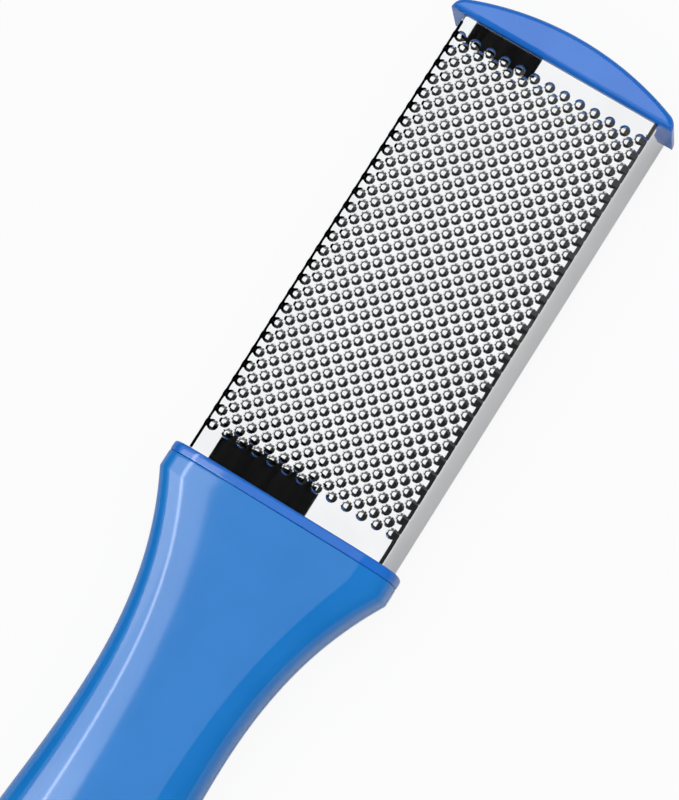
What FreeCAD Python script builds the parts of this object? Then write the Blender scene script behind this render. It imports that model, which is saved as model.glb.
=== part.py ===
import FreeCAD, Part
import math
import os
from types import SimpleNamespace

import Sketcher

# Foot file: a steel rasp head on a ribbed core, in a flared two-shell handle, closed by an end cap.
# Every piece is drawn from the middle of the handle's mouth: +X towards the cap, +Y across, +Z out of
# the coarse face. One shared placement then moves all of them so that the origin is under the middle.

Vector = FreeCAD.Vector
doc = FreeCAD.newDocument("foot_file")

# Driving dimensions
DIMENSIONS = (
    ("handle_length", "118", "mouth of the handle to its rounded end"),
    ("head_length", "93", "steel that shows between the mouth and the cap"),
    ("cap_length", "6.6", "inner edge of the cap to its furthest point"),
    ("mouth_side_margin", "3.3", "collar beyond the coarse plate on each side"),
    ("waist_width", "28.8", "handle across its narrowest place"),
    ("grip_width", "34", "handle across its widest place in the hand"),
    ("mouth_face_margin", "2.1", "collar beyond the outer face of each plate"),
    ("grip_thickness", "17.6", "handle through its thickest place"),
    ("collar_length", "5.4", "straight part behind the mouth"),
    ("waist_from_mouth", "45", "mouth to the narrowest place"),
    ("grip_from_mouth", "88", "mouth to the widest place of the grip"),
    ("shell_wall", "1.6", "wall of the handle shells"),
    ("end_wall", "3.5", "solid tip of the handle"),
    ("ring_length", "2", "band round the mouth"),
    ("ring_chamfer", "0.4", "broken front edge of the band"),
    ("hang_hole_radius", "3", "hang hole in the end of the handle"),
    ("hang_hole_from_end", "11.5", "middle of the hang hole to the tip"),
    ("hang_face_radius", "4.6", "flat round the hang hole"),
    ("hang_face_thickness", "10", "handle between the two flats at the hang hole"),
    ("hang_hole_wall", "1.5", "tube round the hang hole, beyond its flat"),
    ("plate_width", "41", "coarse plate across its folds"),
    ("head_depth", "10.8", "outer face of one plate to that of the other"),
    ("sheet_thickness", "0.5", "steel sheet"),
    ("flange_flare", "1.1", "lean of each flange at its lower edge"),
    ("fold_radius", "0.4", "outside of the fold of the coarse plate"),
    ("plate_insert", "5", "plates reach this far into the handle"),
    ("tray_edge_height", "4", "turned-up edges of the fine plate"),
    ("bump_pitch_across", "3.15", "spacing of the domes across the plate"),
    ("bump_pitch_along", "3.096", "spacing of the domes along the plate"),
    ("bump_gap", "0.2", "flat steel between two neighbouring domes"),
    ("bump_height", "0.7", "height of a dome"),
    ("bump_to_cap", "4.2", "last row of domes to the cap"),
    ("bump_to_mouth", "5", "least bare strip at the mouth, to the first row of domes"),
    ("core_side_gap", "0.5", "core to the folds of the coarse plate"),
    ("core_rim", "3", "side walls of the core"),
    ("core_rib", "2", "cross ribs of the core"),
    ("core_cap_block", "11", "solid end of the core that takes the pegs"),
    ("core_mouth_block", "9", "solid end of the core at the handle"),
    ("window_length", "10", "openings between the ribs of the core"),
    ("tang_length", "58", "tang of the core, inside the handle"),
    ("tang_width", "17", "tang across"),
    ("tang_thickness", "8", "tang through"),
    ("pin_radius", "1.5", "cross pins of the tang"),
    ("pin_length", "10.6", "cross pins from end to end"),
    ("near_pin_from_mouth", "26", "mouth to the first cross pin"),
    ("far_pin_from_mouth", "52", "mouth to the second cross pin"),
    ("boss_wall", "1.8", "wall of the bosses in the shells"),
    ("peg_radius", "1.3", "locating pegs between the shells"),
    ("peg_length", "3", "locating pegs beyond the parting plane"),
    ("peg_from_mouth", "76", "mouth to the locating pegs"),
    ("peg_spacing", "17", "one locating peg to the other, across"),
    ("rivet_radius", "1.2", "rivets through the plates and the core"),
    ("rivet_spacing", "24", "one rivet to the other, across"),
    ("rivet_from_mouth", "3", "rivets behind the mouth"),
    ("cap_side_margin", "2.7", "cap beyond the coarse plate on each side"),
    ("cap_face_margin", "1.5", "cap beyond the outer face of each plate"),
    ("cap_side_length", "1.9", "straight sides of the cap"),
    ("cap_corner_radius", "1.8", "corners of the cap seen from above"),
    ("cap_edge_radius", "1.2", "rounded outer edges of the cap"),
    ("cap_pocket", "1.3", "recess in the cap that takes the plates"),
    ("cap_peg_radius", "2.2", "pegs of the cap in the core"),
    ("cap_peg_length", "8", "pegs of the cap from end to end"),
    ("cap_peg_spacing", "22", "one peg of the cap to the other"),
    ("slip", "0.1", "clearance round the plates and pegs"),
    ("pin_clearance", "0.03", "clearance round pins and rivets"),
    ("overrun", "1", "how far a cutting shape runs past what it cuts"),
)

sheet = doc.addObject("Spreadsheet::Sheet", "Sizes")
for row, (alias, number, meaning) in enumerate(DIMENSIONS, start=1):
    sheet.set(f"A{row}", meaning)
    sheet.set(f"B{row}", number)
    sheet.setAlias(f"B{row}", alias)
doc.recompute()
mm = SimpleNamespace(**{alias: float(sheet.get(alias)) for alias, number, meaning in DIMENSIONS})


class Size:
    """A length or a ratio as a number, with the formula that ties it to the sheet."""

    def __init__(self, value, formula):
        self.value = value
        self.formula = formula

    def __add__(self, other):
        return Size(self.value + other.value, f"({self.formula} + {other.formula})")

    def __sub__(self, other):
        return Size(self.value - other.value, f"({self.formula} - {other.formula})")

    def __mul__(self, factor):
        other = as_size(factor)
        return Size(self.value * other.value, f"({self.formula} * {other.formula})")

    def __truediv__(self, factor):
        other = as_size(factor)
        return Size(self.value / other.value, f"({self.formula} / {other.formula})")

    def __neg__(self):
        return Size(-self.value, f"(-{self.formula})")


def as_size(factor):
    return factor if isinstance(factor, Size) else Size(factor, str(factor))


def size(alias):
    return Size(getattr(mm, alias), f"Sizes.{alias}")


def bind(thing, prop, length):
    thing.setExpression(prop, length.formula)


# Shared sizes, and shared places from the middle of the mouth
ZERO = Size(0, "0")
FULL_LENGTH = size("handle_length") + size("head_length") + size("cap_length")
MOUTH_X = size("handle_length") - FULL_LENGTH / 2
MIDDLE_Z = size("grip_thickness") / 2
CAP_X = size("head_length")
PLATE_END_X = CAP_X + size("cap_pocket")
PLATE_START_X = -size("plate_insert")
HEAD_TOP = size("head_depth") / 2
HEAD_HALF = size("plate_width") / 2
CORE_TOP = HEAD_TOP - size("sheet_thickness")
MOUTH_WIDTH = size("plate_width") + size("mouth_side_margin") * 2
MOUTH_THICKNESS = size("head_depth") + size("mouth_face_margin") * 2
CAP_WIDTH = size("plate_width") + size("cap_side_margin") * 2
CAP_THICKNESS = size("head_depth") + size("cap_face_margin") * 2
PLACE = FreeCAD.Placement(Vector(MOUTH_X.value, 0, MIDDLE_Z.value), FreeCAD.Rotation())


def settle(thing):
    """Move a finished piece from the mouth's frame to the row's frame."""
    bind(thing, "Placement.Base.x", MOUTH_X)
    bind(thing, "Placement.Base.z", MIDDLE_Z)


# Helpers for sketches
def origin_plane(body, role):
    return next(item for item in body.Origin.OriginFeatures if item.Role == role)


def new_body(name):
    body = doc.addObject("PartDesign::Body", name)
    body.Label = name
    settle(body)
    return body


def new_sketch(body, name, role, offset=None):
    sketch = body.newObject("Sketcher::SketchObject", name)
    sketch.AttachmentSupport = [(origin_plane(body, role), "")]
    sketch.MapMode = "FlatFace"
    if offset is not None:
        bind(sketch, "AttachmentOffset.Base.z", offset)
    return sketch


def fix(sketch, kind, element, end, length):
    """Tie one end of an element to the sketch's origin by a length across or up."""
    if length.value < 0:
        length = -length
        ends = (element, end, -1, 1)
    else:
        ends = (-1, 1, element, end)
    index = sketch.addConstraint(Sketcher.Constraint(kind, *ends, length.value))
    bind(sketch, f"Constraints[{index}]", length)


def draw_loop(sketch, points):
    """A closed outline of straight lines through points given as pairs of sizes."""
    count = len(points)
    for start, end in zip(points, points[1:] + points[:1]):
        ends = [Vector(across.value, up.value, 0) for across, up in (start, end)]
        sketch.addGeometry(Part.LineSegment(*ends))
    for index in range(count):
        follower = (index + 1) % count
        sketch.addConstraint(Sketcher.Constraint("Coincident", index, 2, follower, 1))
    for index, (across, up) in enumerate(points):
        fix(sketch, "DistanceX", index, 1, across)
        fix(sketch, "DistanceY", index, 1, up)


def draw_trapezoid(sketch, low_half, high_half, low, high):
    draw_loop(sketch, [(-low_half, low), (low_half, low), (high_half, high), (-high_half, high)])


def draw_box(sketch, left, right, low, high):
    draw_loop(sketch, [(left, low), (right, low), (right, high), (left, high)])


def draw_circle(sketch, across, up, radius):
    centre = Vector(across.value, up.value, 0)
    index = sketch.addGeometry(Part.Circle(centre, Vector(0, 0, 1), radius.value))
    fix(sketch, "DistanceX", index, 3, across)
    fix(sketch, "DistanceY", index, 3, up)
    bound = sketch.addConstraint(Sketcher.Constraint("Radius", index, radius.value))
    bind(sketch, f"Constraints[{bound}]", radius)


def pad(body, name, sketch, length, reverse=False, middle=False):
    feature = body.newObject("PartDesign::Pad", name)
    feature.Profile = sketch
    bind(feature, "Length", length)
    feature.Reversed = reverse
    feature.Midplane = middle
    doc.recompute()
    return feature


def pocket(body, name, sketch, length, reverse=False, middle=False):
    """Cut a sketch into the body, and make sure that something was cut."""
    volume = body.Tip.Shape.Volume
    feature = body.newObject("PartDesign::Pocket", name)
    feature.Profile = sketch
    bind(feature, "Length", length)
    feature.Reversed = reverse
    feature.Midplane = middle
    doc.recompute()
    if feature.Shape.Volume >= volume:
        raise ValueError(f"{name} cuts nothing")
    return feature


def flange_half(height, inward):
    """Half width of the flared head at a height, moved in from its outer face."""
    lean = size("flange_flare") / size("head_depth")
    return HEAD_HALF + lean * (HEAD_TOP - height) - inward


SLOPED_SHEET = Size(
    mm.sheet_thickness * math.hypot(1, mm.flange_flare / mm.head_depth),
    "(Sizes.sheet_thickness * sqrt(1 + (Sizes.flange_flare / Sizes.head_depth)^2))",
)


# Coarse plate: a deep channel whose face carries staggered rows of domes
def build_coarse_plate():
    body = new_body("coarse_plate_blank")
    length = PLATE_END_X - PLATE_START_X
    outside = new_sketch(body, "coarse_outside", "YZ_Plane", PLATE_START_X)
    draw_trapezoid(outside, flange_half(-HEAD_TOP, ZERO), HEAD_HALF, -HEAD_TOP, HEAD_TOP)
    pad(body, "coarse_block", outside, length)
    inside = new_sketch(body, "coarse_inside", "YZ_Plane", PLATE_START_X - size("overrun"))
    floor = -HEAD_TOP - size("overrun")
    draw_trapezoid(
        inside, flange_half(floor, SLOPED_SHEET), flange_half(CORE_TOP, SLOPED_SHEET), floor, CORE_TOP
    )
    pocket(body, "coarse_hollow", inside, length + size("overrun") * 2, reverse=True)
    round_edges(body, "coarse_folds", is_fold, size("fold_radius"))
    holes = new_sketch(body, "coarse_rivet_holes", "XY_Plane", HEAD_TOP + size("overrun"))
    draw_rivet_circles(holes)
    pocket(body, "coarse_rivet_bores", holes, size("sheet_thickness") * 2 + size("overrun"))
    return body


def is_fold(edge):
    """The two long edges where the face of the coarse plate turns into its flanges."""
    box = edge.BoundBox
    return box.XLength > mm.head_length and box.ZMin > CORE_TOP.value + mm.sheet_thickness / 2


def draw_rivet_circles(sketch):
    for side in (-1, 1):
        across = size("rivet_spacing") / 2 * side
        draw_circle(sketch, -size("rivet_from_mouth"), across, size("rivet_radius") + size("pin_clearance"))


def dome_centres(radius):
    """Centres of the domes: full rows, and between them staggered rows with one dome less."""
    margin = mm.fold_radius + radius + mm.bump_gap / 2
    columns = int((mm.plate_width - 2 * margin) / mm.bump_pitch_across) + 1
    rows = int((mm.head_length - mm.bump_to_cap - mm.bump_to_mouth) / mm.bump_pitch_along) + 1
    last_x = CAP_X.value - mm.bump_to_cap
    for full, shift in ((0, 0), (1, mm.bump_pitch_along / 2)):
        for row in range(rows - full):
            for column in range(columns - full):
                across = (column - (columns - full - 1) / 2) * mm.bump_pitch_across
                yield Vector(last_x - shift - row * mm.bump_pitch_along, across, HEAD_TOP.value)


def rivet_centres():
    for side in (-1, 1):
        yield Vector(-mm.rivet_from_mouth, side * mm.rivet_spacing / 2, HEAD_TOP.value)


def ring(centre, radius, facing):
    """A round hole in the flat face, turned against the outline as a hole is."""
    return Part.Wire([Part.Circle(centre, facing * -1, radius).toShape()])


def emboss(blank):
    """Replace the flat face of the blank by the same face with a dome on each centre."""
    shape = blank.Shape.copy()
    shape.Placement = FreeCAD.Placement()
    stagger = math.hypot(mm.bump_pitch_across, mm.bump_pitch_along) / 2
    radius = (stagger - mm.bump_gap) / 2
    sphere_radius = (radius ** 2 + mm.bump_height ** 2) / (2 * mm.bump_height)
    sunk = sphere_radius - mm.bump_height
    rim_angle = math.degrees(math.asin(sunk / sphere_radius))
    ball = Part.makeSphere(sphere_radius, Vector(0, 0, -sunk), Vector(0, 0, 1), rim_angle, 90, 360)
    dome = max(ball.Faces, key=lambda face: face.Area)
    flat = max(shape.Faces, key=lambda face: face.CenterOfMass.z)
    facing = Part.Face(flat.OuterWire).normalAt(0, 0)
    domes = []
    rings = [ring(centre, mm.rivet_radius + mm.pin_clearance, facing) for centre in rivet_centres()]
    for centre in dome_centres(radius):
        copy = dome.copy()
        copy.translate(centre)
        domes.append(copy)
        rings.append(ring(centre, radius, facing))
    face = Part.Face([flat.OuterWire] + rings)
    others = [other for other in shape.Faces if not other.isSame(flat)]
    skin = Part.makeCompound([face] + domes + others)
    skin.sewShape()
    return Part.makeSolid(skin.Shells[0])


# Fine plate: a shallow tray between the flanges
def build_fine_plate():
    body = new_body("fine_rasp_plate")
    length = PLATE_END_X - PLATE_START_X
    inward = SLOPED_SHEET + size("slip")
    rim = -HEAD_TOP + size("tray_edge_height")
    outside = new_sketch(body, "fine_outside", "YZ_Plane", PLATE_START_X)
    draw_trapezoid(outside, flange_half(-HEAD_TOP, inward), flange_half(rim, inward), -HEAD_TOP, rim)
    pad(body, "fine_block", outside, length)
    inward = inward + SLOPED_SHEET
    top = rim + size("overrun")
    inside = new_sketch(body, "fine_inside", "YZ_Plane", PLATE_START_X - size("overrun"))
    draw_trapezoid(inside, flange_half(-CORE_TOP, inward), flange_half(top, inward), -CORE_TOP, top)
    pocket(body, "fine_hollow", inside, length + size("overrun") * 2, reverse=True)
    holes = new_sketch(body, "fine_rivet_holes", "XY_Plane", -HEAD_TOP - size("overrun"))
    draw_rivet_circles(holes)
    bore = size("sheet_thickness") * 2 + size("overrun")
    pocket(body, "fine_rivet_bores", holes, bore, reverse=True)
    return body


# Core: a ribbed frame between the plates, with a tang that runs into the handle
def build_core():
    body = new_body("head_core")
    start = PLATE_START_X
    half = HEAD_HALF - SLOPED_SHEET - size("core_side_gap")
    outline = new_sketch(body, "core_outline", "XY_Plane")
    draw_box(outline, start, PLATE_END_X, -half, half)
    pad(body, "core_block", outline, CORE_TOP * 2, middle=True)

    tang = new_sketch(body, "tang_outline", "XY_Plane")
    draw_box(tang, start - size("tang_length"), start, -size("tang_width") / 2, size("tang_width") / 2)
    pad(body, "tang", tang, size("tang_thickness"), middle=True)

    through = size("head_depth") + size("overrun")
    first = start + size("core_mouth_block")
    inner = half - size("core_rim")
    pitch = mm.window_length + mm.core_rib
    room = PLATE_END_X.value - mm.core_cap_block - first.value
    count = int((room + mm.core_rib) / pitch)
    window = new_sketch(body, "core_window", "XY_Plane")
    draw_box(window, first, first + size("window_length"), -inner, inner)
    cut = pocket(body, "core_windows", window, through, middle=True)
    row = body.newObject("PartDesign::LinearPattern", "core_window_row")
    row.Originals = [cut]
    row.Direction = (window, ["H_Axis"])
    bind(row, "Length", (size("window_length") + size("core_rib")) * (count - 1))
    row.Occurrences = count
    body.Tip = row
    doc.recompute()

    bores = new_sketch(body, "core_bores", "XY_Plane")
    for place in ("near_pin_from_mouth", "far_pin_from_mouth"):
        draw_circle(bores, -size(place), ZERO, size("pin_radius") + size("pin_clearance"))
    draw_rivet_circles(bores)
    pocket(body, "core_cross_bores", bores, through, middle=True)

    sockets = new_sketch(body, "core_sockets", "YZ_Plane", PLATE_END_X)
    draw_cap_pegs(sockets, size("cap_peg_radius") + size("slip"))
    pocket(body, "core_peg_sockets", sockets, size("cap_peg_length") + size("slip"))
    return body


def draw_cap_pegs(sketch, radius):
    for side in (-1, 1):
        draw_circle(sketch, size("cap_peg_spacing") / 2 * side, ZERO, radius)


# End cap: a crescent block with a recess for the plates and two pegs
def build_cap():
    body = new_body("end_cap")
    half = CAP_WIDTH / 2
    side_x = CAP_X + size("cap_side_length")
    tip_x = CAP_X + size("cap_length")
    plan = new_sketch(body, "cap_plan", "XY_Plane")
    corners = [(side_x, half), (CAP_X, half), (CAP_X, -half), (side_x, -half)]
    for start, end in zip(corners, corners[1:]):
        ends = [Vector(along.value, across.value, 0) for along, across in (start, end)]
        plan.addGeometry(Part.LineSegment(*ends))
    low, high = (Vector(side_x.value, sign * half.value, 0) for sign in (-1, 1))
    arc = plan.addGeometry(Part.Arc(low, Vector(tip_x.value, 0, 0), high))
    for index in (0, 1):
        plan.addConstraint(Sketcher.Constraint("Coincident", index, 2, index + 1, 1))
    plan.addConstraint(Sketcher.Constraint("Coincident", 2, 2, arc, 1))
    plan.addConstraint(Sketcher.Constraint("Coincident", arc, 2, 0, 1))
    for index, (along, across) in enumerate(corners[:3]):
        fix(plan, "DistanceX", index, 1, along)
        fix(plan, "DistanceY", index, 1, across)
    fix(plan, "DistanceX", 2, 2, side_x)
    fix(plan, "DistanceY", 2, 2, -half)
    bulge = mm.cap_length - mm.cap_side_length
    arc_radius = (half.value ** 2 + bulge ** 2) / (2 * bulge)
    bulge_formula = "(Sizes.cap_length - Sizes.cap_side_length)"
    radius_formula = f"(({half.formula})^2 + {bulge_formula}^2) / (2 * {bulge_formula})"
    bound = plan.addConstraint(Sketcher.Constraint("Radius", arc, arc_radius))
    bind(plan, f"Constraints[{bound}]", Size(arc_radius, radius_formula))
    pad(body, "cap_block", plan, CAP_THICKNESS, middle=True)

    round_edges(body, "cap_corners", is_cap_corner, size("cap_corner_radius"))
    round_edges(body, "cap_rims", is_cap_rim, size("cap_edge_radius"))

    recess = new_sketch(body, "cap_recess", "YZ_Plane", CAP_X - size("overrun"))
    top = HEAD_TOP + size("slip")
    draw_trapezoid(recess, flange_half(-top, -size("slip")), flange_half(top, -size("slip")), -top, top)
    pocket(body, "cap_plate_recess", recess, size("cap_pocket") + size("overrun"), reverse=True)

    pegs = new_sketch(body, "cap_pegs", "YZ_Plane", PLATE_END_X)
    draw_cap_pegs(pegs, size("cap_peg_radius"))
    pad(body, "cap_peg_pair", pegs, size("cap_peg_length"), reverse=True)
    return body


def round_edges(body, name, wanted, radius):
    solid = body.Tip
    names = [f"Edge{index}" for index, edge in enumerate(solid.Shape.Edges, start=1) if wanted(edge)]
    feature = body.newObject("PartDesign::Fillet", name)
    feature.Base = (solid, names)
    bind(feature, "Radius", radius)
    doc.recompute()


def is_cap_corner(edge):
    """The upright edges where the sides of the cap meet its curved end."""
    box = edge.BoundBox
    return box.ZLength > CAP_THICKNESS.value / 2 and box.XMin > CAP_X.value + mm.cap_side_length / 2


def is_cap_rim(edge):
    """The edges round the top and bottom of the cap, apart from those against the steel."""
    box = edge.BoundBox
    return box.ZLength < mm.slip and box.XMax > CAP_X.value + mm.slip


# Handle form, measured as a distance behind the mouth
MOUTH_CORNER_POWER = 5.0
GRIP_CORNER_POWER = 2.6
TAPER_POWER = 2.4
END_POWER = 2.2
END_REACH_SHARE = 0.985
TAPER_SHARES = (0, 0.1, 0.22, 0.37, 0.57, 0.77, 1)
GRIP_SHARES = (0.25, 0.5, 0.75, 0.92, 1)
END_SHARES = (0.12, 0.3, 0.5, 0.68, 0.82, 0.92, 0.975, 1)
SECTION_STEPS = 16


def between(low, high, share):
    return low + (high - low) * share


def ease(share):
    return share * share * (3 - 2 * share)


def end_closing(distance):
    """How far the rounded end has closed: one at the grip, and small at the tip."""
    reach = (distance - mm.grip_from_mouth) / (mm.handle_length - mm.grip_from_mouth)
    return (1 - (reach * END_REACH_SHARE) ** END_POWER) ** (1 / END_POWER)


def half_width(distance):
    if distance <= mm.collar_length:
        return MOUTH_WIDTH.value / 2
    if distance <= mm.waist_from_mouth:
        share = (distance - mm.collar_length) / (mm.waist_from_mouth - mm.collar_length)
        return between(mm.waist_width, MOUTH_WIDTH.value, (1 - share) ** TAPER_POWER) / 2
    if distance <= mm.grip_from_mouth:
        share = (distance - mm.waist_from_mouth) / (mm.grip_from_mouth - mm.waist_from_mouth)
        return between(mm.waist_width, mm.grip_width, ease(share)) / 2
    return mm.grip_width / 2 * end_closing(distance)


def grip_share(distance):
    return min(1, max(0, (distance - mm.collar_length) / (mm.grip_from_mouth - mm.collar_length)))


def half_thickness(distance):
    if distance <= mm.grip_from_mouth:
        return between(MOUTH_THICKNESS.value, mm.grip_thickness, ease(grip_share(distance))) / 2
    return mm.grip_thickness / 2 * end_closing(distance)


def corner_power(distance):
    return between(MOUTH_CORNER_POWER, GRIP_CORNER_POWER, 1 - (1 - grip_share(distance)) ** 2)


def form_stations(start, stop):
    places = [between(mm.collar_length, mm.waist_from_mouth, share) for share in TAPER_SHARES]
    places += [between(mm.waist_from_mouth, mm.grip_from_mouth, share) for share in GRIP_SHARES]
    places += [between(mm.grip_from_mouth, mm.handle_length, share) for share in END_SHARES]
    inner = [place for place in places if start + mm.slip < place < stop - mm.slip]
    return [start] + inner + [stop]


def half_section(distance, inset, skirt):
    """The upper half of a section across the handle, closed below by straight lines."""
    width = half_width(distance) - inset
    height = half_thickness(distance) - inset
    power = 2 / corner_power(distance)
    points = []
    for step in range(SECTION_STEPS + 1):
        angle = math.pi * step / SECTION_STEPS
        across = math.copysign(abs(math.cos(angle)) ** power, math.cos(angle))
        up = 0 if step in (0, SECTION_STEPS) else math.sin(angle) ** power
        points.append(Vector(-distance, width * across, height * up))
    crown = Part.BSplineCurve()
    crown.interpolate(Points=points, Parameters=[float(step) for step in range(SECTION_STEPS + 1)])
    low = [points[-1]]
    if skirt > 0:
        low.append(points[-1] - Vector(0, 0, skirt))
        low.append(points[0] - Vector(0, 0, skirt))
    low.append(points[0])
    lines = [Part.LineSegment(start, end).toShape() for start, end in zip(low, low[1:])]
    return Part.Wire([crown.toShape()] + lines)


def half_form(start, stop, inset=0, skirt=0):
    """The solid upper half of the handle between two distances behind the mouth."""
    pieces = []
    straight_end = min(stop, mm.collar_length)
    if start < straight_end:
        face = Part.Face(half_section(start, inset, skirt))
        pieces.append(face.extrude(Vector(start - straight_end, 0, 0)))
    if stop > mm.collar_length:
        stations = form_stations(max(start, mm.collar_length), stop)
        wires = [half_section(station, inset, skirt) for station in stations]
        pieces.append(Part.makeLoft(wires, True, False))
    form = pieces[0]
    for piece in pieces[1:]:
        form = form.fuse(piece)
    return form


def flipped(shape):
    return shape.mirror(Vector(0, 0, 0), Vector(0, 0, 1))


def head_slot(reach):
    """The space of the plates with their clearance, from before the mouth to a depth behind it."""
    top = HEAD_TOP + size("slip")
    corners = []
    for level, side in ((-top, -1), (-top, 1), (top, 1), (top, -1)):
        half = flange_half(level, -size("slip")).value
        corners.append(Vector(mm.overrun, side * half, level.value))
    face = Part.Face(Part.makePolygon(corners + corners[:1]))
    return face.extrude(Vector(-reach - mm.overrun, 0, 0))


def column(distance, across, radius, low, high):
    return Part.makeCylinder(radius, high - low, Vector(-distance, across, low))


# Handle shells: the upper one carries the locating pegs, the lower one their sockets
def build_shell(outer, inner, front):
    shell = outer.cut(inner)
    tall = mm.grip_thickness
    tang_face = mm.tang_thickness / 2
    pin_reach = mm.pin_length / 2 + mm.slip
    hang_x = mm.handle_length - mm.hang_hole_from_end
    hang_face = mm.hang_face_thickness / 2
    peg_socket = mm.peg_radius + mm.slip
    pegs = [side * mm.peg_spacing / 2 for side in (-1, 1)]
    pins = (mm.near_pin_from_mouth, mm.far_pin_from_mouth)

    bosses = [column(pin, 0, mm.pin_radius + mm.boss_wall, tang_face, tall) for pin in pins]
    bosses += [column(mm.peg_from_mouth, peg, peg_socket + mm.boss_wall, 0, tall) for peg in pegs]
    bosses.append(column(hang_x, 0, mm.hang_face_radius + mm.hang_hole_wall, 0, tall))
    shell = shell.fuse([boss.common(outer) for boss in bosses])

    bore = mm.pin_radius + mm.pin_clearance
    cuts = [column(pin, 0, bore, tang_face - mm.overrun, pin_reach) for pin in pins]
    cuts.append(column(hang_x, 0, mm.hang_hole_radius, -mm.overrun, tall))
    cuts.append(column(hang_x, 0, mm.hang_face_radius, hang_face, tall))
    if not front:
        depth = mm.peg_length + mm.slip
        cuts += [column(mm.peg_from_mouth, peg, peg_socket, -mm.overrun, depth) for peg in pegs]
    shell = shell.cut(cuts)
    if front:
        reach = (-mm.peg_length, mm.overrun)
        shell = shell.fuse([column(mm.peg_from_mouth, peg, mm.peg_radius, *reach) for peg in pegs])
    else:
        shell = flipped(shell)
    return shell.cut(head_slot(mm.plate_insert + mm.slip))


def build_ring():
    """The band round the mouth, with a broken front edge, open for the plates."""
    straight = half_form(mm.ring_chamfer, mm.ring_length)
    edge = Part.makeLoft([half_section(0, mm.ring_chamfer, 0), straight_front()], True, True)
    half = straight.fuse(edge)
    return half.fuse(flipped(half)).cut(head_slot(mm.ring_length + mm.overrun))


def straight_front():
    wire = half_section(0, 0, 0)
    wire.translate(Vector(-mm.ring_chamfer, 0, 0))
    return wire


def add_shape(name, shape):
    """A finished shape as an object of the document, placed after its shape is set."""
    thing = doc.addObject("Part::Feature", name)
    thing.Label = name
    thing.Shape = shape
    thing.Placement = PLACE
    return thing


def build_rods(name, places, radius, length):
    """Equal upright rods, each a solid of its own, centred on the middle plane."""
    rods = []
    for index, (along, across) in enumerate(places, start=1):
        rod = doc.addObject("Part::Cylinder", f"{name}_{index}")
        bind(rod, "Radius", radius)
        bind(rod, "Height", length)
        bind(rod, "Placement.Base.x", along)
        bind(rod, "Placement.Base.y", across)
        bind(rod, "Placement.Base.z", -length / 2)
        rods.append(rod)
    group = doc.addObject("Part::Compound", name)
    group.Label = name
    group.Links = rods
    settle(group)
    return group


blank = build_coarse_plate()
shell_outside = half_form(mm.ring_length, mm.handle_length)
shell_inside = half_form(
    mm.ring_length + mm.overrun, mm.handle_length - mm.end_wall, mm.shell_wall, mm.overrun
)
nodes = [
    add_shape("handle_front_shell", build_shell(shell_outside, shell_inside, front=True)),
    add_shape("handle_back_shell", build_shell(shell_outside, shell_inside, front=False)),
    add_shape("mouth_ring", build_ring()),
    add_shape("coarse_rasp_plate", emboss(blank)),
    build_fine_plate(),
    build_core(),
    build_cap(),
    build_rods(
        "tang_pins",
        [(-size(place), ZERO) for place in ("near_pin_from_mouth", "far_pin_from_mouth")],
        size("pin_radius"),
        size("pin_length"),
    ),
    build_rods(
        "plate_rivets",
        [(-size("rivet_from_mouth"), size("rivet_spacing") / 2 * side) for side in (-1, 1)],
        size("rivet_radius"),
        size("head_depth"),
    ),
]
doc.recompute()

for thing in doc.Objects:
    if "Invalid" in thing.State or "Error" in thing.State:
        raise ValueError(f"{thing.Name} failed")
os.makedirs("parts", exist_ok=True)
for node in nodes:
    shape = node.Shape
    if shape.isNull() or not shape.isValid():
        raise ValueError(f"{node.Label} has no valid shape")
    shape.exportStep(f"parts/{node.Label}.step")
    box = shape.BoundBox
    print(
        node.Label,
        len(shape.Solids),
        round(shape.Volume, 1),
        [round(value, 2) for value in (box.XMin, box.YMin, box.ZMin, box.XMax, box.YMax, box.ZMax)],
    )
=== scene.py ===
import math
from types import SimpleNamespace

import bmesh
import bpy
from mathutils import Matrix, Vector


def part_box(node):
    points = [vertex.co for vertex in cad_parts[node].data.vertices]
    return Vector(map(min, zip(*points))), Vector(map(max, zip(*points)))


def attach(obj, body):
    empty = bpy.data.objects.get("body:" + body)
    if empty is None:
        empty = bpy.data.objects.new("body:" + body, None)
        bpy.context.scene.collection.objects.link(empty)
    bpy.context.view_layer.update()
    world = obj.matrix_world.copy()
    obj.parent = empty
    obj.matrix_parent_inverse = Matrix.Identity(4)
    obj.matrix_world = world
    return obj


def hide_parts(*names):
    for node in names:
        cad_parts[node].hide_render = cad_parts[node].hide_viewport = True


# Foot file: a mirror-bright steel rasp head in a flared, glossy blue handle, closed by a crescent cap.
# The file lies on its fine face, with +X towards the cap and +Z out of the coarse face.

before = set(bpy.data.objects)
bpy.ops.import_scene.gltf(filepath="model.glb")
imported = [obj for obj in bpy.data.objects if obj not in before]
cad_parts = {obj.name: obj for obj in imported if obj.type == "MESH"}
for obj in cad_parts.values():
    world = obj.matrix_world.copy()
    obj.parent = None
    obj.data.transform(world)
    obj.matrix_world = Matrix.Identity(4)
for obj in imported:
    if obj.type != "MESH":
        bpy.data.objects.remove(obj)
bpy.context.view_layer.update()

# Lengths are in metres, with the small ones that modelling needs first
MM = 0.001
TINY = 0.01 * MM
SAME_POINT = 0.001 * MM
FILLED_CUT_REACH = 0.1 * MM
OVERRUN = 1 * MM

# Places taken from the frame
SHELL_LOW, SHELL_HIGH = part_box("handle_front_shell")
RING_LOW, RING_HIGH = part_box("mouth_ring")
COARSE_LOW, COARSE_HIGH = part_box("coarse_rasp_plate")
CAP_LOW, CAP_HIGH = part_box("end_cap")
MIDDLE_Z = (RING_LOW.z + RING_HIGH.z) / 2
MOUTH_X = RING_HIGH.x
HANDLE_LENGTH = MOUTH_X - SHELL_LOW.x

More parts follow.
